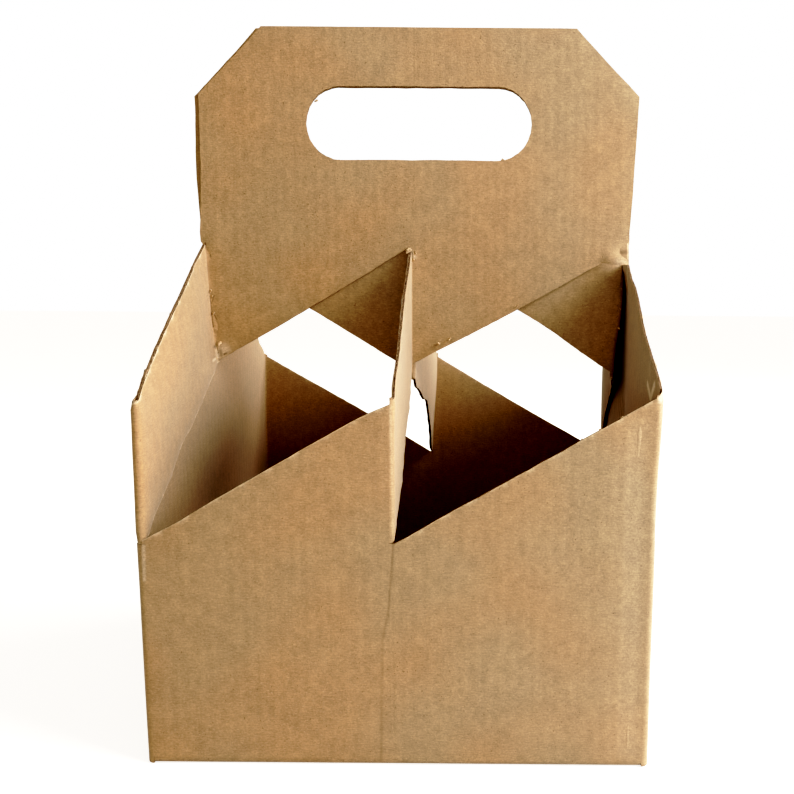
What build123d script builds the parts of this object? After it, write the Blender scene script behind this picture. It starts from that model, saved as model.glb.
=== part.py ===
from build123d import *
import math
import os

# Four-bottle carrier, die-cut and folded from one glued blank of kraft corrugated board.
# Square tube of four walls, glued bottom, two handle panels back to back across the
# middle, and four slanted straps that hang from the walls and carry the handle panels.
# Millimetres. The origin is the centre of the base, +Z is up, the front is at -Y.
# The front half of the blank is modelled once. The back half is its copy, turned half
# a turn about Z, because the blank repeats itself after half its length.

# Board: two liners and the waved paper between them, crushed flat beside each fold
board = 1.4
liner = 0.25
waved_paper = 0.2
flute_pitch = 3.45
crushed_strip = 2.5
slip = 0.4
fold_radius = 2.2
strap_fold_radius = 1.6

# Walls
side = 148.0
low_edge = 68.2
cut_angle = 30.0

# Handle panels
handle_height = 227.0
handle_chamfer = 22.0
free_edge_lift = 2.0
free_edge_flare = 2.4
grip_length = 77.2
grip_height = 24.2
grip_drop = 31.3
uncut_length = 10.0
bend_radius = 9.0

# Bottom flaps and glue tab
flap_taper = 3.0
flap_seam = 0.8
flap_clearance = 0.4
corner_lift = 0.4
glue_tab_width = 28.0
glue_tab_inset = 6.0

# Worked out from the sizes above
half = side / 2
slope = math.tan(math.radians(cut_angle))
strap_line_radius = strap_fold_radius - board / 2
tooth_top = low_edge + half * slope
peak = tooth_top + half * slope
strap_outer_x = -half + board + slip
strap_line_x = strap_outer_x + board / 2
handle_line_y = -(slip + board) / 2
loop_radius = (board + slip) / 2
loop_centre_x = -half + board + slip / 2
loop_centre_y = -half + board / 2 + loop_radius
inner_flap_z = board + slip
reach = side


def on_front(points):
    """A prism with this outline in X and Z, all the way through in Y."""
    face = make_face(Plane.XZ * Polyline(*points, close=True))
    return extrude(face, amount=reach, both=True)


def on_side(points):
    """A prism with this outline in Y and Z, all the way through in X."""
    face = make_face(Plane.YZ * Polyline(*points, close=True))
    return extrude(face, amount=reach, both=True)


def standing(section):
    """The plan section of upright board, extruded past the top of the handle."""
    return extrude(section, amount=handle_height + reach / 4)


def fluted(length, air_sides=(1, -1)):
    """The plan section of straight board along X, with the air channels of its waved paper."""
    air = board / 2 - liner
    lean = math.atan(4 * air / flute_pitch)
    half_base = flute_pitch / 2 - waved_paper / math.sin(lean)
    count = math.floor((length - 2 * crushed_strip) / flute_pitch)
    channels = []
    for index in range(count):
        for side_sign in air_sides:
            middle = (index - (count - 1) / 2 + side_sign / 4) * flute_pitch
            base = side_sign * air
            tip = side_sign * (waved_paper - air)
            corners = [(middle - half_base, base), (middle + half_base, base), (middle, tip)]
            channels.append(make_face(Polyline(*corners, close=True)))
    return Rectangle(length, board) - channels


def plate(low, high):
    """The plan section of fluted board between two corners."""
    size_x = high[0] - low[0]
    size_y = high[1] - low[1]
    turn = 0 if size_x > size_y else 90
    return Pos(low[0] + size_x / 2, low[1] + size_y / 2) * Rot(0, 0, turn) * fluted(max(size_x, size_y))


def quarter_fold(centre, start_angle, outer_radius=fold_radius):
    """The plan section of one square fold, a quarter ring round its inner centre."""
    arc = CenterArc(centre, outer_radius - board / 2, start_angle, 90)
    return trace(arc, line_width=board)


def front_wall():
    """Front wall: two saw teeth, each rising to the right."""
    edge = half - fold_radius
    outline = on_front([
        (-edge, fold_radius),
        (edge, fold_radius),
        (edge, tooth_top - fold_radius * slope),
        (0, low_edge),
        (-strap_fold_radius, low_edge),
        (-strap_fold_radius, tooth_top - strap_fold_radius * slope),
        (-edge, low_edge + fold_radius * slope),
    ])
    return standing(plate((-edge, -half), (edge, -half + board))) & outline


def side_wall():
    """Left wall: its top edge climbs to a peak where the handle stands."""
    edge = half - fold_radius
    foot = inner_flap_z + fold_radius
    shoulder = tooth_top + fold_radius * slope
    outline = on_side([(-edge, foot), (edge, foot), (edge, shoulder), (0, peak), (-edge, shoulder)])
    return standing(plate((-half, -edge), (-half + board, edge))) & outline


def low_corner():
    """Front left corner, which ends where the strap's own fold begins."""
    centre = (-half + fold_radius, -half + fold_radius)
    post = extrude(quarter_fold(centre, 180), amount=low_edge - corner_lift)
    return Pos(0, 0, corner_lift) * post


def high_corner():
    """Front right corner, whose top edge climbs on round the fold."""
    centre = (half - fold_radius, -half + fold_radius)
    span = 2 * fold_radius
    climb = span * slope * math.sqrt(2)
    across = Plane(origin=(half, -half, 0), x_dir=(1, 1, 0), z_dir=(1, -1, 0))
    outline = [
        (-span, corner_lift),
        (span, corner_lift),
        (span, tooth_top + climb),
        (-span, tooth_top - climb),
    ]
    ramp = extrude(make_face(across * Polyline(*outline, close=True)), amount=span * 2, both=True)
    return standing(quarter_fold(centre, 270)) & ramp


def strap_outline():
    """Side view of a strap: it climbs from the front wall to the handle."""
    return on_side([(-half, low_edge), (0, tooth_top), (0, peak), (-half, tooth_top)])


def wall_strap():
    """Strap folded right back at the corner, lying on the inside of the left wall."""
    stub = plate((-half, loop_centre_y), (-half + board, -half + fold_radius))
    loop = trace(CenterArc((loop_centre_x, loop_centre_y), loop_radius, 180, 180), line_width=board)
    end_y = handle_line_y - strap_line_radius
    run = plate((strap_outer_x, loop_centre_y), (strap_outer_x + board, end_y))
    turn = quarter_fold((strap_line_x + strap_line_radius, end_y), 90, strap_fold_radius)
    return (standing(stub) + standing(loop) + standing(run) + standing(turn)) & strap_outline()


def middle_strap():
    """Strap folded square off the left tooth, running straight back to the handle."""
    foot_y = -half + strap_fold_radius
    first = quarter_fold((-strap_fold_radius, foot_y), 270, strap_fold_radius)
    end_y = handle_line_y - strap_line_radius
    run = plate((-board, foot_y), (0, end_y))
    second = quarter_fold((strap_line_radius - board / 2, end_y), 90, strap_fold_radius)
    return (standing(first) + standing(run) + standing(second)) & strap_outline()


def handle_panel():
    """Handle panel: chamfered shoulders, hand hole, and a lower edge cut in two steps.

    The side that lies against its twin is left without air channels.
    """
    left_fold = strap_outer_x + strap_fold_radius
    middle_fold = -board + strap_fold_radius
    right_end = half - board - slip
    free_start = peak + free_edge_lift
    shoulder = handle_height - handle_chamfer
    outline = on_front([
        (left_fold, tooth_top + (left_fold + half) * slope),
        (-board, peak),
        (middle_fold, peak),
        (middle_fold, tooth_top + middle_fold * slope),
        (right_end, tooth_top + right_end * slope),
        (half, free_start),
        (half + free_edge_flare, shoulder),
        (half + free_edge_flare - handle_chamfer, handle_height),
        (-half + handle_chamfer, handle_height),
        (-half, shoulder),
        (-half, free_start),
        (strap_outer_x, peak),
        (left_fold, peak),
    ])
    section = Pos(free_edge_flare / 2, handle_line_y) * fluted(side + free_edge_flare, air_sides=[-1])
    grip = Pos(free_edge_flare / 2, handle_height - grip_drop) * SlotOverall(grip_length, grip_height)
    hole = extrude(Plane.XZ * grip, amount=reach, both=True)
    return (standing(section) & outline) - hole


def peak_bend():
    """The uncut end of the handle's lower edge, bent round to the right wall's peak."""
    line_x = half - board / 2
    centre = (line_x - bend_radius, handle_line_y - bend_radius)
    section = trace(CenterArc(centre, bend_radius, 90, -90), line_width=board)
    foot = peak - uncut_length * slope - board
    outline = on_side([(-half, foot), (0, foot), (0, peak), (-half, tooth_top)])
    return standing(section) & outline


def outer_flap():
    """Outer bottom flap, hinged on the front wall."""
    edge = half - fold_radius
    fold_centre = (-half + fold_radius, fold_radius)
    fold = Plane.YZ * quarter_fold(fold_centre, 180)
    hinge = extrude(fold, amount=edge, both=True)
    outline = [
        (-edge, -edge),
        (edge, -edge),
        (edge - flap_taper, -flap_seam / 2),
        (-edge + flap_taper, -flap_seam / 2),
    ]
    flap = extrude(make_face(Polyline(*outline, close=True)), amount=board)
    return hinge + flap


def inner_flap():
    """Inner bottom flap, hinged on the left wall, on top of the outer flaps."""
    edge = half - fold_radius - flap_clearance
    hinge_x = -half + fold_radius
    fold_centre = (hinge_x, inner_flap_z + fold_radius)
    fold = Plane.XZ * quarter_fold(fold_centre, 180)
    hinge = extrude(fold, amount=edge, both=True)
    outline = [
        (hinge_x, -edge),
        (-flap_seam / 2, -edge + flap_taper),
        (-flap_seam / 2, edge - flap_taper),
        (hinge_x, edge),
    ]
    flap = extrude(make_face(Polyline(*outline, close=True)), amount=board)
    return hinge + Pos(0, 0, inner_flap_z) * flap


def glue_tab():
    """Tab of the right wall's end, glued behind the front wall at the right corner."""
    corner = half - fold_radius
    free_end = half - board - glue_tab_width
    foot = inner_flap_z + glue_tab_inset
    head = low_edge - glue_tab_inset
    outline = on_front([
        (corner, foot),
        (corner, head + corner * slope),
        (free_end, head + free_end * slope),
        (free_end, foot + glue_tab_width * slope / 2),
    ])
    return standing(plate((free_end, -half + board), (corner, -half + 2 * board))) & outline


front_half = Part() + [
    front_wall(),
    side_wall(),
    low_corner(),
    high_corner(),
    wall_strap(),
    middle_strap(),
    handle_panel(),
    outer_flap(),
    inner_flap(),
]
back_half = Rot(0, 0, 180) * front_half
carrier = front_half + back_half + peak_bend() + glue_tab()

os.makedirs("parts", exist_ok=True)
export_step(carrier, "parts/carrier.step")
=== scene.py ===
import math

import bmesh
import bpy
from mathutils import Matrix, Vector, noise


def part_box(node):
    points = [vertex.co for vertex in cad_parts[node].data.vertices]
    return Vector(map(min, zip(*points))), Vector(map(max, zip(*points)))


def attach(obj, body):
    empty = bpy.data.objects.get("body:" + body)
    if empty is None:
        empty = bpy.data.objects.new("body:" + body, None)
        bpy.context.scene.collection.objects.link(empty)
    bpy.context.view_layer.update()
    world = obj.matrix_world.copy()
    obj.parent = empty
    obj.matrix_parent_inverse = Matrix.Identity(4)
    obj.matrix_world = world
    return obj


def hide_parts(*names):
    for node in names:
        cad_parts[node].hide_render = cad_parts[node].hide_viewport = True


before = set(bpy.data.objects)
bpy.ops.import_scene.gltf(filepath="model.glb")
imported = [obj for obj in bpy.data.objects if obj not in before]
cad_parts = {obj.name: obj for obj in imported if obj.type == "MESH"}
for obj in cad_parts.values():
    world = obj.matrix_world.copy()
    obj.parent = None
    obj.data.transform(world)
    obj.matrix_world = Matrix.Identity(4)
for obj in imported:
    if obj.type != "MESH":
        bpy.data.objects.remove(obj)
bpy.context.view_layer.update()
base_low, base_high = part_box("carrier")

# The board is E-flute corrugated: a waved paper glued between two brown kraft liners.
# Every stretch of the blank is cut as these three papers, laid along its place in the
# folded carrier, trimmed, and joined to the stretches beside it. Millimetres.
board = 1.4
paper = 0.22
flute_pitch = 3.45
samples_per_flute = 6
wave_height = board / 2 - 1.5 * paper
crushed_strip = 2.5
liner_row = 4.54
wave_row = 27.24
fold_columns = 5
cut_tolerance = 0.001
weld_distance = 0.02
sheets = {"outer": bmesh.new(), "waves": bmesh.new(), "inner": bmesh.new()}
part_names = []


def flat_paper(kind, width, foot, top, folded, crush_top, crush_foot):
    """One paper of a piece of the blank: X along the blank, Z up the flutes, Y through the board.

    Its rows stand at heights that all stretches share, so that they join up.
    """
    flutes = max(1, round(width / flute_pitch))
    columns = flutes * (samples_per_flute if kind == "waves" else 1)
    row = wave_row if kind == "waves" else liner_row
    first = math.floor(foot / row)
    rows = math.ceil(top / row) - first
    if folded == "along":
        columns = fold_columns
    if folded == "up":
        rows = fold_columns
    sheet = bmesh.new()
    bmesh.ops.create_grid(sheet, x_segments=columns, y_segments=rows, size=0.5)
    for vertex in sheet.verts:
        along = (vertex.co.x + 0.5) * width
        up = (vertex.co.y + 0.5) * (top - foot)
        if folded != "up":
            up = max(0, min(top - foot, (first + round((vertex.co.y + 0.5) * rows)) * row - foot))
        through = {"outer": (paper - board) / 2, "inner": (board - paper) / 2, "waves": 0}[kind]
        if kind == "waves" and not folded:
            edge = min(along, width - along) / crushed_strip
            swell = 1 if foot + up > crush_top else max(0, min(1, edge)) * (foot + up > crush_foot)
            through += swell * wave_height * math.sin(math.tau * flutes * along / width)
        vertex.co = (along, through, up)
    if kind == "inner":
        bmesh.ops.reverse_faces(sheet, faces=sheet.faces)
    return sheet, (flutes if folded != "along" else width / flute_pitch)


def bent(place, run, turn, along, through):
    """The point of a straight run (turn 0) or of a fold of radius run, along and through the board."""
    x, y, heading = place
    if not turn:
        return (x + along * math.cos(heading) - through * math.sin(heading),
                y + along * math.sin(heading) + through * math.cos(heading))
    side = math.copysign(1, turn)
    here = heading + side * along / run
    reach = side * run - through
    return (x - side * run * math.sin(heading) + reach * math.sin(here),
            y + side * run * math.cos(heading) - reach * math.cos(here))


def press_edge(piece, place, run, turn, cut, left, bared):
    """Presses the board together where the die cut it, to the share of its thickness that is left.

    The attribute cut_edge remembers where that is, for the bared fibres along the cut.
    """
    x, y, heading = place
    point, waste = Vector(cut[0]), Vector(cut[1])
    side = math.copysign(1, turn)
    centre = Vector((x - side * run * math.sin(heading), y + side * run * math.cos(heading)))
    cut_edge = piece.verts.layers.float["cut_edge"]
    for vertex in piece.verts:
        if abs((vertex.co - point).dot(waste)) > weld_distance:
            continue
        vertex[cut_edge] = bared
        flat = vertex.co.xy
        if turn:
            pressed = centre + (flat - centre).normalized() * (run + ((flat - centre).length - run) * left)
        else:
            normal = Vector((-math.sin(heading), math.cos(heading)))
            pressed = flat - normal * normal.dot(flat - Vector((x, y))) * (1 - left)
        vertex.co.xy = pressed


def punch(piece, hole):
    """Takes out what lies inside a hole, which is a list of points and outward directions."""
    inside = piece.faces[:]
    for point, outward in hole:
        around = dict.fromkeys(inside)
        around.update(dict.fromkeys(edge for face in inside for edge in face.edges))
        around.update(dict.fromkeys(vertex for face in inside for vertex in face.verts))
        made = bmesh.ops.bisect_plane(piece, geom=list(around), dist=cut_tolerance, plane_co=point,
                                      plane_no=outward)
        faces = [item for item in made["geom"] if isinstance(item, bmesh.types.BMFace)]
        gap = [(face.calc_center_median() - Vector(point)).dot(Vector(outward)) for face in faces]
        inside = [face for face, distance in zip(faces, gap) if distance < 0]
    bmesh.ops.delete(piece, geom=inside, context="FACES")


def add_to_sheet(piece, kind, part, half_turn):
    """Names the piece's part, turns it to its half of the carrier, and adds it to its paper."""
    if part not in part_names:
        part_names.append(part)
    tag = piece.verts.layers.int.new("part")
    for vertex in piece.verts:
        vertex[tag] = part_names.index(part)
    turned = Matrix.Rotation(math.radians(half_turn), 3, "Z")
    bmesh.ops.rotate(piece, cent=(0, 0, 0), matrix=turned, verts=piece.verts)
    held = bpy.data.meshes.new("stretch")
    piece.to_mesh(held)
    sheets[kind].from_mesh(held)
    bpy.data.meshes.remove(held)
    piece.free()


def lay_board(part, route, foot, top, cuts=(), holes=(), blank_at=0, crush_top=math.inf, half_turn=0,
              crush_foot=0, flap=None, wide=0, edge_left=0.7, bared=0):
    """Lays board along a route of runs and folds, trims it, and adds it to the three papers.

    A cut is a point and the direction of the waste. A flap folds up its flutes, not along the blank.
    The flutes are whole right up to the board's ends above crush_top, and flat below crush_foot.
    """
    (x, y), heading, steps = route
    heading = math.radians(heading)
    blank = blank_at / flute_pitch
    for run, turn_degrees in steps:
        turn = math.radians(turn_degrees)
        length = run * abs(turn) if turn else run
        used = 0
        for kind in sheets:
            if flap:
                piece, used = flat_paper(kind, wide, 0, length, "up" if turn else "", crush_top, crush_foot)
            else:
                fold = "along" if turn else ""
                piece, used = flat_paper(kind, length, foot, top, fold, crush_top, crush_foot)
            piece.verts.layers.float.new("cut_edge")
            uv = piece.loops.layers.uv.new("blank")
            for face in piece.faces:
                for loop in face.loops:
                    across = loop.vert.co.x / (wide if flap else length) * used
                    loop[uv].uv = (blank + across, (foot + loop.vert.co.z) / flute_pitch)
            for vertex in piece.verts:
                along, through, up = vertex.co
                if flap:
                    vertex.co = (along - wide / 2, *bent((x, y, heading), run, turn, up, through))
                else:
                    vertex.co = (*bent((x, y, heading), run, turn, along, through), foot + up)
            for point, waste in cuts:
                geometry = piece.verts[:] + piece.edges[:] + piece.faces[:]
                bmesh.ops.bisect_plane(piece, geom=geometry, dist=cut_tolerance, plane_co=point,
                                       plane_no=waste, clear_outer=True)
            for hole in holes:
                punch(piece, hole)
            if flap:
                bmesh.ops.transform(piece, matrix=flap, verts=piece.verts)
            else:
                for cut in cuts:
                    press_edge(piece, (x, y, heading), run, turn, cut, edge_left, bared)
            add_to_sheet(piece, kind, part, half_turn)
        blank += used
        x, y = bent((x, y, heading), run, turn, length, 0)
        heading += turn


# Sizes of the folded carrier, taken from the frame and the board. The blank repeats itself
# after half its length, so the back half is the front half turned half a turn.
metre = 1000
side = 2 * base_high.y * metre
half = side / 2
low_edge = 68.2
cut_angle = 30
slope = math.tan(math.radians(cut_angle))
fold_inside = 2.2
fold_middle = fold_inside - board / 2
quarter = (fold_middle, 90)
strap_inside = 1.6
strap_middle = strap_inside - board / 2
strap_quarter = (strap_middle, 90)
slip = 0.4
corner_foot = 0.4
tooth_top = low_edge + half * slope
peak = tooth_top + half * slope
half_blank = 2 * side


def below(point_a, point_b, axis):
    """The cut along a line seen from the front (axis Y) or the side (axis X), that keeps what is below."""
    (a, za), (b, zb) = sorted([point_a, point_b])
    if axis == "Y":
        return (a, 0, za), Vector((za - zb, 0, b - a)).normalized()
    return (0, a, za), Vector((0, za - zb, b - a)).normalized()


def above(point_a, point_b, axis):
    """The cut along a straight line that keeps what is above."""
    point, waste = below(point_a, point_b, axis)
    return point, -waste


# Walls: left wall, low corner, front wall with its two saw teeth, and high corner, all one board.
# Their top edges are die cut at 30 degrees, and the board stops at the bottom folds.
for name, turned in (("front", 0), ("back", 180)):
    start_blank = half_blank if turned else 0
    wall = name + " wall"
    edge = half - fold_inside
    flap_foot = board + slip + fold_inside
    lay_board(name + " side wall", ((-half + board / 2, edge), -90, [(2 * edge, 0)]), flap_foot, peak,
              [below((-half, tooth_top), (0, peak), "X"), below((0, peak), (half, tooth_top), "X")],
              blank_at=start_blank, half_turn=turned, edge_left=0.3)
    lay_board(wall, ((-half + board / 2, -edge), -90, [quarter]), corner_foot, low_edge,
              blank_at=start_blank + side, half_turn=turned)
    lay_board(wall, ((-edge, -half + board / 2), 0, [(edge - strap_inside, 0)]), fold_inside, tooth_top,
              [below((-half, low_edge), (0, tooth_top), "Y")], blank_at=start_blank + side, half_turn=turned,
              bared=0.92)
    lay_board(wall, ((-strap_inside, -half + board / 2), 0, [(strap_inside, 0)]), fold_inside, low_edge,
              blank_at=start_blank + side + half, half_turn=turned)
    lay_board(wall, ((0, -half + board / 2), 0, [(edge, 0)]), fold_inside, tooth_top,
              [below((0, low_edge), (half, tooth_top), "Y")],
              blank_at=start_blank + side + half, half_turn=turned, bared=0.92)
    ramp_rise = 2 * fold_inside * slope * math.sqrt(2)
    ramp_waste = Vector((-ramp_rise / math.sqrt(2), -ramp_rise / math.sqrt(2), 2 * fold_inside)).normalized()
    lay_board(wall, ((edge, -half + board / 2), 0, [quarter]), corner_foot, tooth_top + 2 * fold_inside,
              [((half, -half, tooth_top), ramp_waste)],
              blank_at=start_blank + 2 * side, half_turn=turned, edge_left=0.3)

    # Wall strap: cut out above the first saw tooth, folded right back at the corner, and laid on the
    # inside of the side wall up to the handle. Middle strap: folded square off the first tooth.
    strap_lines = [above((-half, low_edge), (0, tooth_top), "X"), below((-half, tooth_top), (0, peak), "X")]
    loop = (board + slip) / 2
    strap_x = -half + board + slip + board / 2
    strap_end = -(slip + board) / 2 - strap_middle
    run_start = -half + board / 2 + loop
    there_and_back = [(-run_start - edge, 0), (loop, 180), (strap_end - run_start, 0), (strap_middle, -90)]
    lay_board(name + " wall strap", ((-half + board / 2, -edge), -90, there_and_back), low_edge, peak,
              strap_lines, blank_at=start_blank + side, half_turn=turned, edge_left=0.3, bared=1)
    straight_back = [strap_quarter, (strap_end + half - strap_inside, 0), (strap_middle, -90)]
    lay_board(name + " middle strap", ((-strap_inside, -half + board / 2), 0, straight_back), low_edge, peak,
              strap_lines, blank_at=start_blank + side + half, half_turn=turned, edge_left=0.5)

    # Handle panel: chamfered shoulders, hand hole, and a lower edge cut in two steps. On the front
    # panel that edge sits a little higher, and its right end is left uncut. The right ends are
    # crushed low down, and the two hand holes line up, the back one a little longer.
    height = base_high.z * metre
    chamfer = 22
    flare = 2.4
    lift = 0 if turned else 1.2
    left_end_drop = 2.5
    left_cut_drop = 0.6
    middle_drop = 1.2
    flute_start = 4
    uncut_length = 9.2
    uncut_depth = 5
    crushed_to = 165
    whole_from = 190
    right_end = half - uncut_length
    right_foot = tooth_top if turned else peak - uncut_depth
    handle_y = -(slip + board) / 2
    left_fold = strap_x - board / 2 + strap_inside
    middle_fold = strap_inside - board
    grip_length = 78 if turned else 77.2
    grip_height = 24.2
    grip_drop = 31.3
    grip_shift = 0.3
    grip_x = grip_shift - flare / 2 if turned else flare / 2
    grip_z = height - grip_drop
    grip_round = 28
    grip_sides = [((grip_x, 0, grip_z + grip_height / 2), (0, 0, 1)),
                  ((grip_x, 0, grip_z - grip_height / 2), (0, 0, -1))]
    for step in range(grip_round):
        angle = math.tau * (step + 0.5) / grip_round
        out = Vector((math.cos(angle), 0, math.sin(angle)))
        end_x = math.copysign(grip_length / 2 - grip_height / 2, out.x)
        grip_sides.append((Vector((grip_x + end_x, 0, grip_z)) + out * grip_height / 2, out))
    free_edge_lift = 2
    free_start = peak + free_edge_lift
    right = half + flare
    shoulders = [below((-half, height - chamfer), (-half + chamfer, height), "Y"),
                 below((right - chamfer, height), (right, height - chamfer), "Y")]
    free_edge = ((half, 0, free_start), Vector((height - chamfer - free_start, 0, -flare)).normalized())
    right_cut = above((0, tooth_top + 2 * lift), (half, peak + lift / 2), "Y")
    left_cut = above((-half, free_start), (strap_x - board / 2, peak - left_cut_drop), "Y")
    middle_cut = above((-half, tooth_top + lift), (0, peak + lift), "Y")
    handle = name + " handle"
    handle_blank = start_blank + 2 * side
    lay_board(handle, ((-half, handle_y), 0, [(left_fold + half, 0)]), peak - left_end_drop, height,
              shoulders + [left_cut], blank_at=handle_blank - half, crush_top=peak, half_turn=turned)
    lay_board(handle, ((left_fold, handle_y), 0, [(-board - left_fold, 0)]), tooth_top, height,
              shoulders + [middle_cut], [grip_sides],
              blank_at=handle_blank - half + flute_start, crush_top=peak, half_turn=turned)
    lay_board(handle, ((-board, handle_y), 0, [(board + middle_fold, 0)]), peak - middle_drop, height,
              (), [grip_sides], blank_at=handle_blank - board, crush_top=peak, half_turn=turned)
    lay_board(handle, ((middle_fold, handle_y), 0, [(right_end - middle_fold, 0)]), tooth_top, height,
              shoulders + [right_cut], [grip_sides],
              blank_at=handle_blank, crush_top=peak, half_turn=turned)
    lay_board(handle, ((right_end, handle_y), 0, [(right - right_end, 0)]), right_foot, height,
              shoulders + [free_edge] + ([right_cut] if turned else []),
              blank_at=handle_blank + right_end, crush_top=whole_from, crush_foot=crushed_to,
              half_turn=turned)

    # Bottom flaps: the outer one is hinged on the front wall, and the inner one on the side wall,
    # glued on top of it. Each tapers to the middle and stops short of its twin.
    half_seam = 0.4
    flap_taper = 3
    flap_clearance = 0.4
    flaps = (("outer flap", 0, 0, 0), ("inner flap", flap_clearance, board + slip, -90))
    for flap_name, inset, rise, turn_flap in flaps:
        flap_edge = edge - inset
        taper = Vector((edge - half_seam, flap_taper, 0)).normalized()
        cuts = [((flap_edge, -edge, 0), taper), ((-flap_edge, -edge, 0), Vector((-taper.x, taper.y, 0)))]
        place = Matrix.Rotation(math.radians(turn_flap), 4, "Z") @ Matrix.Translation((0, 0, rise))
        lay_board(name + " " + flap_name,
                  ((-half + board / 2, fold_inside), -90, [quarter, (edge - half_seam, 0)]), 0, 0, cuts,
                  blank_at=start_blank + side, half_turn=turned, flap=place, wide=2 * flap_edge)

# Glue tab: the end of the blank, folded off the right wall and glued behind the front wall,
# with its ends cut back from the wall's.
tab_width = 28
tab_inset = 6
tab_end = half - board - tab_width
tab_foot = board + slip + tab_inset
tab_head = low_edge - tab_inset
lay_board("glue tab", ((tab_end, -half + 1.5 * board), 0, [(edge - tab_end, 0)]), tab_foot, side,
          [below((0, tab_head), (half, tab_head + half * slope), "Y"),
           above((tab_end, tab_foot + tab_width / 2 * slope), (edge, tab_foot), "Y")],
          blank_at=2 * half_blank)

# The stretches are joined into three whole papers, with finer faces where the board is crumpled.
# Wear and use have bent the whole board since: each bend is a pull at a line, softer around it.
for sheet in sheets.values():
    bmesh.ops.remove_doubles(sheet, verts=sheet.verts, dist=weld_distance)


def refine(parts, middle, reach, cuts):
    """Gives the liners of the named parts finer faces round a point."""
    tags = {index for index, part in enumerate(part_names) if part.startswith(parts)}
    for kind in ("outer", "inner"):
        tag = sheets[kind].verts.layers.int["part"]
        near = {vertex for vertex in sheets[kind].verts
                if vertex[tag] in tags and (vertex.co - Vector(middle)).length < reach}
        edges = [edge for edge in sheets[kind].edges if set(edge.verts) <= near]
        bmesh.ops.subdivide_edges(sheets[kind], edges=edges, cuts=cuts, use_grid_fill=True)


def pull(parts, start, end, by, reach):
    """Pulls the named parts by a distance near a line, and less with the distance from it."""
    tags = {index for index, part in enumerate(part_names) if part.startswith(parts)}
    start = Vector(start)
    axis = Vector(end) - start
    for sheet in sheets.values():
        tag = sheet.verts.layers.int["part"]
        for vertex in sheet.verts:
            if vertex[tag] in tags:
                offset = vertex.co - start
                share = max(0, min(1, offset.dot(axis) / max(axis.length_squared, 1e-9)))
                vertex.co += Vector(by) * math.exp(-((offset - axis * share).length / reach) ** 2)


refine(("front handle", "back handle", "back side wall"), (70, -2, 152), 13, 2)
refine(("front handle", "front wall strap"), (-70, -2, 118), 11, 2)
refine(("back middle strap",), (0, 40, 88), 30, 1)

# Left wall: a higher peak, a lower front corner whose edge leans out below and in at its tip, and
# the strap pressed against the wall along their top edges, with its own lower edge a little up.
left_wall = ("front side wall", "front wall strap")
pull(left_wall, (-73, 0, 154), (-73, 0, 154), (-1.1, 0, 1.6), 30)
pull(left_wall, (-74, -74, 95), (-74, -74, 111), (0, 0, -2.5), 22)
left_corner = ("front side wall", "front wall")
pull(left_corner, (-74, -74, 76), (-74, -74, 92), (-0.3, 0, 0), 14)
pull(left_corner + ("front outer flap",), (-74, -74, 0), (-74, -74, 60), (-0.5, 0, 0), 18)
pull(left_corner, (-74, -74, 111), (-74, -74, 111), (0.8, 0, 0), 7)
pull(left_corner, (-74.6, -74, 111), (-74.6, -74, 111), (0.6, 0, -1.4), 3.5)
pull(left_corner, (-74, -74, 68), (-66, -74, 72), (0, 0, -0.8), 9)
pull(("front wall strap",), (-71, -64, 74), (-71, -40, 88), (0, 0, 1.8), 6)
pull(("front wall strap",), (-71, -40, 90), (-71, 0, 112), (0, 0, 1.8), 8)
pull(("front wall strap",), (-71, 0, 111), (-71, 0, 111), (0, 0, 1.6), 3.5)
pull(left_wall, (-73, -34, 134), (-73, -34, 134), (-0.3, 0, 0), 25)
pull(("front wall",), (-60, -74, 76), (-8, -74, 106), (0, 0, -0.6), 8)
pull(("front wall strap",), (-72, -73, 111), (-72, -12, 146), (-1.3, 0, 0), 6)
pull(("back wall strap",), (72, 66, 115), (72, 12, 146), (1.2, 0, 0), 6)

# Right wall: bowed out at the front and back corners and between them, and drawn in and down at
# its peak. The back left corner stands out a little too.
right_wall = ("back side wall", "front wall")
pull(right_wall, (73, 0, 154), (73, 0, 154), (-2.4, 0, -4.4), 7)
pull(right_wall, (73, -13, 146), (73, -13, 146), (-1.1, 0, 0), 9)
pull(right_wall, (73, 2, 100), (73, 2, 150), (1.7, 0, 0), 15)
pull(right_wall, (73, -27, 138), (73, -27, 138), (0.7, 0, 0), 16)
pull(right_wall, (73, -52, 123), (73, -52, 123), (0.4, 0, 0), 14)
pull(right_wall, (74, -74, 108), (74, -74, 111), (1.5, 0, 0.9), 22)
pull(("front wall", "back side wall", "front outer flap"), (74, -74, 0), (74, -74, 60), (0.6, 0, 0), 25)
pull(("back",), (74, 74, 60), (74, 74, 111), (2.2, 0, -0.5), 30)
pull(("front side wall", "back wall"), (-74, 74, 30), (-74, 74, 80), (-1.0, 0, 0), 25)
pull(("back wall strap",), (72, 72, 68), (72, 72, 111), (1.2, 0, 0), 18)
pull(("front wall",), (70, -74, 8), (70, -74, 100), (0, 0.8, 0), 5)

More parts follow.
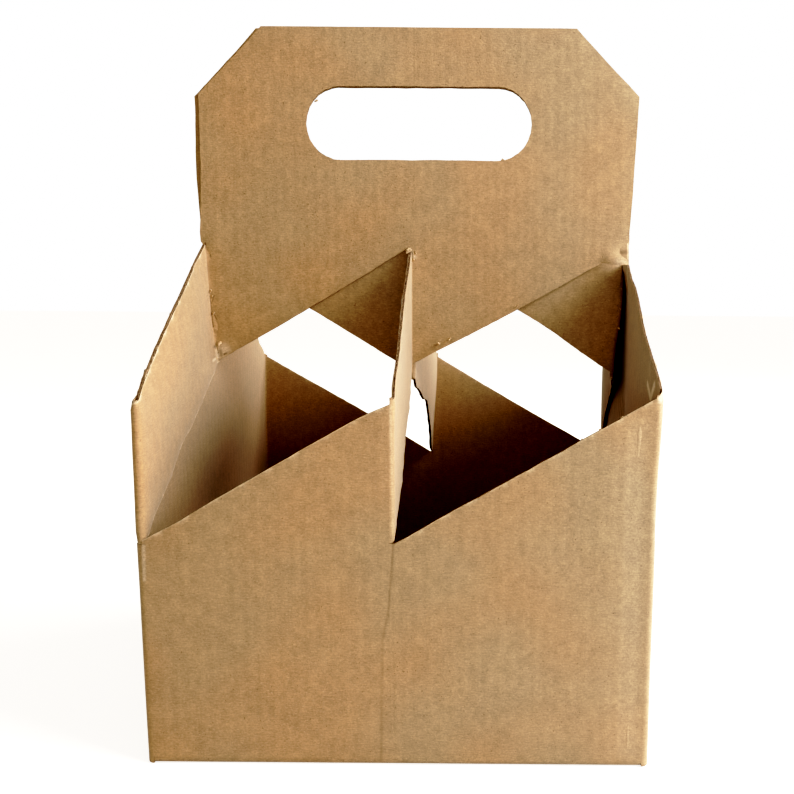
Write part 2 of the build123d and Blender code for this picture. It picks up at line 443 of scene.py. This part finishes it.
# Handle panels: both sit to the left at the middle straps, the front one is pressed into the left
# wall's peak and rolls over below it, and the back one shows past its left edge, has its top left
# corner drawn in, and stands away from the right wall.
front_panel = ("front handle", "front middle strap")
pull(front_panel, (-0.7, 0, 112), (-0.7, 0, 153), (-1.5, 0, 0), 18)
pull(("back handle", "back middle strap"), (0.7, 0, 105), (0.7, 0, 150), (-1.9, 0, 0), 25)
pull(("front wall", "front middle strap"), (-0.7, -74, 111), (-0.7, -74, 111), (0.4, 0, -1.5), 7)
pull(("front middle strap",), (-0.7, -30, 92), (-0.7, -28, 138), (-0.8, 0, 0), 18)
left_roll = ("front handle", "front wall strap")
pull(left_roll, (-71, -1, 128), (-71, -1, 156), (-1.3, 0, 0), 12)
pull(left_roll, (-71.3, -1.2, 110), (-71.3, -1.2, 115), (0.7, -0.7, 0.3), 5)
pull(("back handle",), (-74, 0, 158), (-74, 0, 178), (-1.1, 0, 0), 13)
pull(("back handle",), (-76, 0, 205), (-60, 0, 222), (0.4, 0, -0.5), 10)
right_roll = ("back handle", "back wall strap")
pull(right_roll, (72, 0, 112), (72, 0, 116), (-1.7, 0, 0), 11)
pull(right_roll, (72, 0, 135), (72, 0, 150), (0.9, 0, 0), 10)
pull(right_roll, (60, 1, 117), (72, 1, 112), (0, 0, -1.9), 12)

# Back middle strap: leaning in its fold, with a lower edge that tore unevenly.
pull(("back middle strap", "back wall"), (0.7, 73, 66), (0.7, 73, 72), (-1.3, 0, 0), 18)
pull(("back middle strap", "back wall"), (0.7, 73, 108), (0.7, 73, 111), (0.6, 0, 0), 18)
pull(("back middle strap",), (0, 33, 92), (0, 33, 92), (0, 0, 4), 8)
pull(("back middle strap",), (0, 60, 76), (0, 60, 76), (0, 0, -3.5), 9)
pull(("back middle strap",), (0, 4, 107), (0, 4, 107), (0, 0, -3.5), 8)

# Right end of the front panel: left uncut, it buckles into a ridge beside the wall's peak, under a
# dent in both panels, and lies against the back panel below it.
pull(("front handle", "back handle"), (73.5, 0, 153), (76, 0, 153.4), (-0.5, 2.0, 0), 3.4)
pull(("front handle",), (68, -1.6, 149.6), (74, -1.6, 149.6), (0, -0.4, 0), 2.5)
pull(("front handle", "back handle"), (74, 0, 149.5), (74, 0, 149.5), (0.9, 0, 0), 5)
pull(("front handle",), (right_end, -1.6, peak - uncut_depth), (74, -1.6, peak - uncut_depth), (0, 0.6, 0), 2)
pull(("back handle",), (right_end + 2, 0, peak - 6), (74, 0, peak - 6), (0, -1.6, 0), 6)

# Torn flakes: at the middle strap's tip, along the left crease and at its foot, at the front
# panel's lower edge, beside the right wall, and where the blank was held in its sheet, along the
# right saw tooth and in the hand hole.
forward = (0, -1, 0)
torn_finish = 2


def torn(part, root, away, face, length, width, curl_degrees):
    """A torn flake of paper, rooted in the board, that curls from the direction away towards face."""
    root, away, face = Vector(root), Vector(away).normalized(), Vector(face).normalized()
    across = away.cross(face).normalized()
    face = across.cross(away)
    curl = math.radians(curl_degrees)
    flake = bmesh.new()
    bmesh.ops.create_grid(flake, x_segments=8, y_segments=3, size=0.5)
    flake.loops.layers.uv.new("blank")
    for vertex in flake.verts:
        share = vertex.co.x + 0.5
        ragged = 0.75 + 0.5 * noise.noise(root + Vector((share * 7, vertex.co.y * 2, 0)))
        spread = width * vertex.co.y * (1 - share ** 2 * 0.7) * ragged
        turned = curl * share
        out = away * math.sin(turned) + face * (1 - math.cos(turned))
        vertex.co = root + out * length / curl * ragged + across * spread
    for face_made in flake.faces:
        face_made.material_index = torn_finish
    add_to_sheet(flake, "outer", part, 0)


torn("front handle", (-2.4, -1.9, 152.6), (-0.5, -0.2, 0.8), forward, 3.2, 2.6, 110)
torn("front handle", (-1.0, -1.9, 152.4), (0.8, -0.2, 0.1), forward, 2.6, 1.8, 90)
torn("front handle", (-1.3, -1.9, 150.2), (0.7, -0.3, -0.6), forward, 1.8, 1.4, 80)
torn("front handle", (-72.6, -2.0, 138.6), (0.9, -0.3, -0.3), forward, 1.6, 1.6, 80)
torn("front handle", (-72.2, -2.0, 136.9), (0.8, -0.4, -0.7), forward, 1.3, 1.1, 70)
torn("front handle", (-72.0, -2.0, 131.0), (0.9, -0.3, -0.5), forward, 2.0, 1.5, 85)
torn("front handle", (-69.5, -2.6, 121.0), (-0.2, -0.3, -1), forward, 3.4, 1.4, 100)
torn("front handle", (-70.6, -3.4, 115.4), (-0.9, -0.2, -0.4), forward, 1.8, 1.6, 80)
torn("front handle", (8.2, -1.9, 121.0), (-0.3, -0.4, -0.9), forward, 1.5, 1.3, 90)
torn("front handle", (11.6, -1.9, 122.6), (0.5, -0.4, -0.7), forward, 1.7, 1.2, 90)
torn("front handle", (35.0, -1.9, 134.2), (0.7, -0.3, 0.5), forward, 1.2, 1.0, 80)
torn("back handle", (71.2, 0.1, 126.8), (0.7, -0.4, -0.6), forward, 2.2, 0.5, 30)
torn("back handle", (71.8, 0.1, 133.4), (0.4, -0.6, 0.2), forward, 0.9, 1.1, 60)
torn("back handle", (72.2, 0.1, 140.2), (0.4, -0.6, 0.2), forward, 1.0, 1.2, 60)
for flake_x in (52.8, 57.7, 63.9):
    top_z = low_edge + flake_x * slope
    torn("front wall", (flake_x, -half + board / 2, top_z - 0.2), (0.3, -0.1, 1), forward, 0.7, 1.4, 40)
for flake_x, flake_z, away in ((-34, 203.4, (0.5, 0, -0.8)), (29.9, 183.7, (0.3, 0, 1))):
    torn("front handle", (flake_x, handle_y, flake_z), away, forward, 0.9, 1.6, 50)

# The whole board is a little uneven, less so near the floor, and its cut edges are ragged. It
# stays inside the frame's box. The seed gives the same board in every run.
noise.seed_set(1)
waviness = 0.3
wave_scale = 0.022
raggedness = 0.16
ragged_scale = 0.45
steady_below = 20
for sheet in sheets.values():
    for vertex in sheet.verts:
        place = vertex.co.copy()
        rise = min(1, place.z / steady_below)
        vertex.co += noise.noise_vector(place * wave_scale) * waviness * rise
        if vertex.is_boundary:
            vertex.co += noise.noise_vector(place * ragged_scale) * raggedness * rise
        for axis in range(3):
            low = base_low[axis] * metre + paper / 2
            high = base_high[axis] * metre - paper / 2
            vertex.co[axis] = max(low, min(high, vertex.co[axis]))

# The three papers are one glued and folded sheet, so they become one piece. Its faces take the
# first finish, its cut edges the second and its torn flakes the third.
carrier = bpy.data.objects.new("carrier_board", bpy.data.meshes.new("carrier_board"))
bpy.context.scene.collection.objects.link(carrier)
whole = bmesh.new()
for sheet in sheets.values():
    held = bpy.data.meshes.new("paper")
    sheet.to_mesh(held)
    whole.from_mesh(held)
    bpy.data.meshes.remove(held)
    sheet.free()
for face in whole.faces:
    face.smooth = True
bmesh.ops.scale(whole, vec=[1 / metre] * 3, verts=whole.verts)
whole.to_mesh(carrier.data)
whole.free()

# The finishes are made of shader nodes, in the part's own coordinates or along the blank. Marks of
# wear are soft lines: the group near_line says how near a point is to one, from 1 to 0 at its reach.
near_line = bpy.data.node_groups.new("near_line", "ShaderNodeTree")
for socket_name in ("Point", "Start", "Axis"):
    near_line.interface.new_socket(socket_name, in_out="INPUT", socket_type="NodeSocketVector")
near_line.interface.new_socket("Reach", in_out="INPUT", socket_type="NodeSocketFloat")
near_line.interface.new_socket("Mask", in_out="OUTPUT", socket_type="NodeSocketFloat")


def node_in(tree, kind, inputs=None, **settings):
    """A shader node with its settings made and its inputs set or joined."""
    made = tree.nodes.new("ShaderNode" + kind)
    for setting, value in settings.items():
        setattr(made, setting, value)
    for socket, value in (inputs or {}).items():
        if isinstance(value, bpy.types.NodeSocket):
            tree.links.new(value, made.inputs[socket])
        else:
            made.inputs[socket].default_value = value
    return made


given = near_line.nodes.new("NodeGroupInput").outputs
offset = node_in(near_line, "VectorMath", {0: given["Point"], 1: given["Start"]}, operation="SUBTRACT")
along = node_in(near_line, "VectorMath", {0: offset.outputs[0], 1: given["Axis"]}, operation="DOT_PRODUCT")
whole_way = node_in(near_line, "VectorMath", {0: given["Axis"], 1: given["Axis"]}, operation="DOT_PRODUCT")
share = node_in(near_line, "Math", {0: along.outputs["Value"], 1: whole_way.outputs["Value"]},
                operation="DIVIDE", use_clamp=True)
foot_point = node_in(near_line, "VectorMath", {0: given["Axis"], "Scale": share.outputs[0]},
                     operation="SCALE")
away_by = node_in(near_line, "VectorMath", {0: offset.outputs[0], 1: foot_point.outputs[0]},
                  operation="DISTANCE")
faded = node_in(near_line, "MapRange", {"Value": away_by.outputs["Value"], "From Min": 0,
                                        "From Max": given["Reach"], "To Min": 1, "To Max": 0},
                interpolation_type="SMOOTHSTEP")
near_line.links.new(faded.outputs[0], near_line.nodes.new("NodeGroupOutput").inputs["Mask"])

# Kraft liner: brown pulp in warm and dull clouds, paler towards the right as painted light, with broad
# faint stains, grain, fibres along the blank, pale and dark flecks, the flutes' washboard in relief and as
# painted shade, and wear.
# Scuffs bare pale fibre, and some pale marks are painted highlights; creases are dark, and most are painted
# shade. A mark is a start, an end, a reach and a strength.
scuffs_and_highlights = [
    ((73.8, -55.5, 112.7), (73.8, -60.5, 109.1), 1.7, 1.6),
    ((73.8, -60.5, 109.1), (73.8, -65.1, 113.6), 1.7, 1.6),
    ((73.8, -57.7, 121), (73.8, -57.8, 115.7), 1.2, 0.3), ((74, -72, 112), (74.5, -74, 110), 1.6, 0.7),
    ((-70.8, -7, 114.5), (-70.4, -1, 115.6), 0.8, 0.7), ((-70.6, -2, 116), (-68.6, -2, 118), 3.6, 0.4),
    # Painted highlights: the first mark lights the front wall along the middle strap's fold, the second the
    # ridge at the front panel's right end.
    ((-1.0, -74, 109.5), (-0.2, -74, 69), 0.8, 0.25), ((71, -2, 149.6), (75, -2, 149.6), 2.6, 0.35),
    # Painted highlight: the first mark is the bright spot on that ridge.
    ((73.2, -2, 149), (74.4, -2, 149), 0.7, 0.9), ((-72.6, -2.2, 134.5), (-70.9, -2.2, 137.3), 0.4, 0.5),
    # Painted highlight: the first mark is a light line along a slight ridge at the front wall's left corner.
    ((-72, -74, 67), (-72.3, -74, 57), 0.9, 0.35), ((75, -74, 111), (75, -74, 88), 1.0, 0.5),
    # Painted light: the first mark pales a broad band near the front wall's right corner, where the board
    # curves towards the light.
    ((69, -74, 6), (68.5, -74, 102), 5.5, 0.1), ((-2.2, -2, 153), (-0.6, -2, 151), 1.5, 0.7),
]
creases_and_shade = [
    # Painted shade: these two marks darken the inner corner of the front panel's left fold.
    ((-73.7, -1.6, 155), (-73.4, -1.6, 143), 0.6, 0.8), ((-73.4, -1.6, 143), (-72.1, -1.6, 126), 0.5, 0.7),
    ((-72.4, -1.8, 134), (-71.2, -1.8, 137), 0.35, 0.8),
    ((-72, -1.8, 131.5), (-70.8, -1.8, 128.8), 0.35, 0.8),
    # Painted shade: the first mark here darkens a small hole at the foot of that fold.
    ((-69.6, -2.7, 117.6), (-69.4, -2.7, 116), 1.2, 1), ((-68.4, -2, 116.4), (-67.6, -2, 116.8), 0.6, 0.8),
    # Painted shade: this line and the first mark below darken the faint crease down the front wall, which
    # also gets a bump.
    ((-0.6, -74, 68), (-2.2, -74, 48.5), 0.7, 0.3), ((-2.2, -74, 48.5), (-4.1, -74, 39), 0.8, 0.25),
    # Painted shadow: the second mark here and the next line darken the hollow of the dent at the front
    # panel's right end.
    ((-4.1, -74, 39), (-4.9, -74, 0.5), 0.9, 0.2), ((75.8, 0, 155.5), (75, 0, 150.5), 2.0, 0.85),
    ((75, 0, 153.3), (71.8, -0.8, 152.9), 1.4, 0.6),
]


def marks_in(tree, point, lines):
    """The strongest of several marks at a point."""
    strongest = None
    for start, end, reach, strength in lines:
        axis = Vector(end) - Vector(start) + Vector((0, 0, 0.01))
        mark = node_in(tree, "Group", node_tree=near_line)
        tree.links.new(point, mark.inputs["Point"])
        mark.inputs["Start"].default_value = Vector(start) / metre
        mark.inputs["Axis"].default_value = axis / metre
        mark.inputs["Reach"].default_value = reach / metre
        scaled = node_in(tree, "Math", {0: mark.outputs[0], 1: strength}, operation="MULTIPLY").outputs[0]
        if strongest:
            scaled = node_in(tree, "Math", {0: strongest, 1: scaled}, operation="MAXIMUM").outputs[0]
        strongest = scaled
    return strongest


def speckle(tree, space, scale, detail, roughness=0.5):
    """Noise at a scale, in the part's own coordinates or along the blank."""
    return node_in(tree, "TexNoise", {"Vector": space, "Scale": scale, "Detail": detail,
                                      "Roughness": roughness}).outputs[0]


def ranged(tree, value, low, high, to_low=0, to_high=1):
    """A value carried from one range to another, and held inside it."""
    return node_in(tree, "MapRange", {"Value": value, "From Min": low, "From Max": high,
                                      "To Min": to_low, "To Max": to_high}).outputs[0]


def two_tone(tree, value, low, low_colour, high, high_colour):
    """One colour where the value is low and another where it is high, mixed between them."""
    made = node_in(tree, "ValToRGB", {"Fac": value})
    for stop, position, colour in zip(made.color_ramp.elements, (low, high), (low_colour, high_colour)):
        stop.position = position
        stop.color = colour
    return made.outputs[0]


def painted(tree, colour, tint, mask, how="MIX"):
    """The colour with a tint laid over it or multiplied in, as far as the mask says."""
    return node_in(tree, "Mix", {0: mask, 6: colour, 7: tint}, data_type="RGBA", blend_type=how).outputs[2]


liner = bpy.data.materials.new("kraft_liner")
liner.use_nodes = True
tree = liner.node_tree
shader = tree.nodes["Principled BSDF"]
point = node_in(tree, "TexCoord").outputs["Object"]
blank = node_in(tree, "UVMap", uv_map="blank").outputs["UV"]
fibre_space = node_in(tree, "Mapping", {"Vector": blank, "Scale": (1.5, 9, 1)}).outputs[0]
across = node_in(tree, "SeparateXYZ", {0: point}).outputs["X"]
flute_angle = node_in(tree, "VectorMath", {0: blank, 1: (math.tau, 0, 0)}, operation="MULTIPLY").outputs[0]
flute_along = node_in(tree, "SeparateXYZ", {0: flute_angle}).outputs["X"]
washboard_and_shade = node_in(tree, "Math", {0: flute_along}, operation="SINE").outputs[0]
clouds = speckle(tree, point, 110, 3, 0.6)
patches = speckle(tree, point, 330, 2)
grain = speckle(tree, point, 1500, 2, 0.7)
fibres = speckle(tree, fibre_space, 1, 3)
flecks = speckle(tree, fibre_space, 2.3, 1)
specks = speckle(tree, point, 1700, 0)
stains = speckle(tree, point, 26, 1)
colour = two_tone(tree, clouds, 0.3, (0.350, 0.230, 0.129, 1), 0.7, (0.374, 0.247, 0.136, 1))
for source, low, high in ((patches, 0.93, 1.07), (grain, 0.88, 1.15), (fibres, 0.90, 1.10)):
    colour = painted(tree, colour, ranged(tree, source, 0.3, 0.7, low, high), 1.0, "MULTIPLY")
stained = ranged(tree, stains, 0.38, 0.62)
stain = painted(tree, (1.03, 0.98, 0.93, 1), (0.97, 1.0, 1.01, 1), stained)
colour = painted(tree, colour, stain, 1.0, "MULTIPLY")
# Painted light: the liner turns paler and cooler towards the right, as if the lamps on that side lit it more
# strongly.
right_light_share = ranged(tree, across, -half / metre, half / metre)
colour = painted(tree, colour, (1.0, 1.09, 1.2, 1), right_light_share, "MULTIPLY")
# Painted shade: the washboard's stripes are also laid into the colour, faintly lighter and darker along the
# flutes, as their ripple would be lit.
colour = painted(tree, colour, ranged(tree, washboard_and_shade, -1, 1, 0.988, 1.012), 1.0, "MULTIPLY")
pale = ranged(tree, flecks, 0.62, 0.72, 0, 0.45)
dark = ranged(tree, specks, 0.78, 0.84, 0, 0.5)
rough_edge = ranged(tree, grain, 0.35, 0.6, 0.5, 1.1)
wear_and_highlight = node_in(tree, "Math", {0: marks_in(tree, point, scuffs_and_highlights), 1: rough_edge}, operation="MULTIPLY",
               use_clamp=True).outputs[0]
crease_and_shade = node_in(tree, "Math", {0: marks_in(tree, point, creases_and_shade), 1: rough_edge}, operation="MULTIPLY",
                  use_clamp=True).outputs[0]
at_edge = node_in(tree, "Attribute", attribute_name="cut_edge").outputs["Fac"]
lip = node_in(tree, "Math", {0: at_edge, 1: 8}, operation="POWER").outputs[0]
lip = node_in(tree, "Math", {0: lip, 1: rough_edge}, operation="MULTIPLY", use_clamp=True).outputs[0]
tints = [
    (pale, (0.62, 0.47, 0.30, 1)),
    (dark, (0.14, 0.08, 0.04, 1)),
    (lip, (0.80, 0.66, 0.46, 1)),
    # Pale scuffs of bared fibre, and painted highlights.
    (wear_and_highlight, (0.74, 0.62, 0.46, 1)),
    # Dark creases, most of them painted shade in a fold, a hole, a crease and a dent.
    (crease_and_shade, (0.10, 0.05, 0.02, 1)),
]
for mask, tint in tints:
    colour = painted(tree, colour, tint, mask)
tree.links.new(colour, shader.inputs["Base Color"])
relief = node_in(tree, "Math", {0: washboard_and_shade, 1: 0.2, 2: grain}, operation="MULTIPLY_ADD").outputs[0]
relief = node_in(tree, "Math", {0: fibres, 1: 0.6, 2: relief}, operation="MULTIPLY_ADD").outputs[0]
relief = node_in(tree, "Math", {0: crease_and_shade, 1: -2.0, 2: relief}, operation="MULTIPLY_ADD").outputs[0]
bump = node_in(tree, "Bump", {"Strength": 0.5, "Distance": 0.0001, "Height": relief}).outputs[0]
tree.links.new(bump, shader.inputs["Normal"])
tree.links.new(ranged(tree, grain, 0, 1, 0.72, 0.95), shader.inputs["Roughness"])
shader.inputs["Specular IOR Level"].default_value = 0.4
shader.inputs["Sheen Weight"].default_value = 0.5
shader.inputs["Sheen Roughness"].default_value = 0.5
shader.inputs["Sheen Tint"].default_value = (1, 0.95, 0.86, 1)
carrier.data.materials.append(liner)

# Cut edges show the papers' ends, dull and painted much darker than the liner as the shade in the thin edges
# and their flutes, and torn flakes are pale, fuzzy fibre.
for name, low_colour, high_colour in (("kraft_cut", (0.09, 0.05, 0.03, 1), (0.26, 0.17, 0.10, 1)),
                                      ("kraft_torn", (0.34, 0.21, 0.10, 1), (0.72, 0.56, 0.38, 1))):
    bared = bpy.data.materials.new(name)
    bared.use_nodes = True
    tree = bared.node_tree
    shader = tree.nodes["Principled BSDF"]
    point = node_in(tree, "TexCoord").outputs["Object"]
    fuzz = speckle(tree, point, 1800, 2)
    fibre = two_tone(tree, fuzz, 0.3, low_colour, 0.65, high_colour)
    tree.links.new(fibre, shader.inputs["Base Color"])
    bump = node_in(tree, "Bump", {"Strength": 0.6, "Distance": 0.0001, "Height": fuzz}).outputs[0]
    tree.links.new(bump, shader.inputs["Normal"])
    shader.inputs["Roughness"].default_value = 0.95
    carrier.data.materials.append(bared)

# Each paper gets its own thickness, to both sides of its middle, with the cut finish on its rims.
cut_finish = 1
thicken = carrier.modifiers.new("paper", "SOLIDIFY")
thicken.thickness = paper / metre
thicken.offset = 0
thicken.material_offset_rim = cut_finish
solid = bpy.data.meshes.new_from_object(carrier.evaluated_get(bpy.context.evaluated_depsgraph_get()))
carrier.modifiers.clear()
carrier.data = solid
solid.set_sharp_from_angle(angle=math.radians(40))
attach(carrier, "root")
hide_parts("carrier")

# The floor is plain and pale, and glows only for the camera. The world lights the carrier softly
# and shows white behind it.
floor = bpy.data.objects.new("floor", bpy.data.meshes.new("floor"))
bpy.context.scene.collection.objects.link(floor)
ground = bmesh.new()
bmesh.ops.create_grid(ground, x_segments=1, y_segments=1, size=4)
ground.to_mesh(floor.data)
ground.free()
floor_paint = bpy.data.materials.new("floor_paint")
floor_paint.use_nodes = True
floor_shader = floor_paint.node_tree.nodes["Principled BSDF"]
floor_shader.inputs["Base Color"].default_value = (0.62, 0.61, 0.59, 1)
floor_shader.inputs["Roughness"].default_value = 0.8
floor_shader.inputs["Emission Color"].default_value = (1, 0.98, 0.95, 1)
tree = floor_paint.node_tree
floor_glow = 0.72
seen = node_in(tree, "LightPath").outputs["Is Camera Ray"]
glow = node_in(tree, "Math", {0: seen, 1: floor_glow}, operation="MULTIPLY")
tree.links.new(glow.outputs[0], floor_shader.inputs["Emission Strength"])
floor.data.materials.append(floor_paint)

world = bpy.data.worlds.new("studio")
bpy.context.scene.world = world
world.use_nodes = True
tree = world.node_tree
backdrop = tree.nodes["Background"]
backdrop.inputs["Color"].default_value = (1, 1, 1, 1)
backdrop.inputs["Strength"].default_value = 1.0
room = node_in(tree, "Background", {"Color": (1.0, 0.95, 0.86, 1), "Strength": 0.42})
seen = node_in(tree, "LightPath").outputs["Is Camera Ray"]
around = node_in(tree, "MixShader", {0: seen, 1: room.outputs[0], 2: backdrop.outputs[0]})
tree.links.new(around.outputs[0], tree.nodes["World Output"].inputs["Surface"])


# Three softboxes: the key and the side light stand high on the right, before and behind the
# handle, and a faint fill stands low in front.
def softbox(name, place, aim, width, height, power, colour):
    """A softbox at a place, turned to what it lights."""
    lamp = bpy.data.lights.new(name, "AREA")
    lamp.shape = "RECTANGLE"
    lamp.size = width
    lamp.size_y = height
    lamp.energy = power
    lamp.color = colour
    holder = bpy.data.objects.new(name, lamp)
    holder.location = place
    holder.rotation_euler = (Vector(aim) - Vector(place)).to_track_quat("-Z", "Y").to_euler()
    bpy.context.scene.collection.objects.link(holder)


softbox("key", (0.64, -0.20, 0.48), (0, 0, 0.12), 0.5, 0.4, 9.8, (0.97, 0.98, 1))
softbox("side", (0.70, 0.35, 0.46), (0, 0.02, 0.12), 0.5, 0.3, 4.5, (0.97, 0.98, 1))
softbox("fill", (0.10, -0.80, 0.05), (0, 0, 0.12), 0.5, 0.4, 1.9, (1, 0.98, 0.95))

# The camera stands where the photographer's did: at the height of the handle's foot, a little to
# the right, looking slightly down.
camera = bpy.data.objects.new("camera", bpy.data.cameras.new("camera"))
bpy.context.scene.collection.objects.link(camera)
bpy.context.scene.camera = camera
camera.location = (0.0297, -0.3277, 0.1419)
look_down = 9.08
roll_left = 0.44
tilt = Matrix.Rotation(math.radians(90 - look_down), 3, "X")
roll = Matrix.Rotation(math.radians(roll_left), 3, "Z")
camera.rotation_euler = (tilt @ roll).to_euler()
photo_width = 794
photo_focus = 917.5
photo_axis = (500.0, 430.3)
camera.data.sensor_width = 36
camera.data.lens = photo_focus / photo_width * camera.data.sensor_width
camera.data.shift_x = (photo_width / 2 - photo_axis[0]) / photo_width
camera.data.shift_y = (photo_axis[1] - photo_width / 2) / photo_width
camera.data.clip_start = 0.01

# The photograph is printed with a strong tone curve, which deepens shadows and pales highlights.
# Each pair is the light that comes in and the tone that it is printed in.
printed_tones = ((0.055, 0.002), (0.10, 0.026), (0.16, 0.10), (0.35, 0.35), (0.50, 0.57), (0.72, 0.83))
toning = bpy.context.scene.view_settings
toning.view_transform = "Standard"
toning.use_curve_mapping = True
tone_curve = toning.curve_mapping.curves[3]
for light, printed in printed_tones:
    tone_curve.points.new(light, printed)
toning.curve_mapping.update()
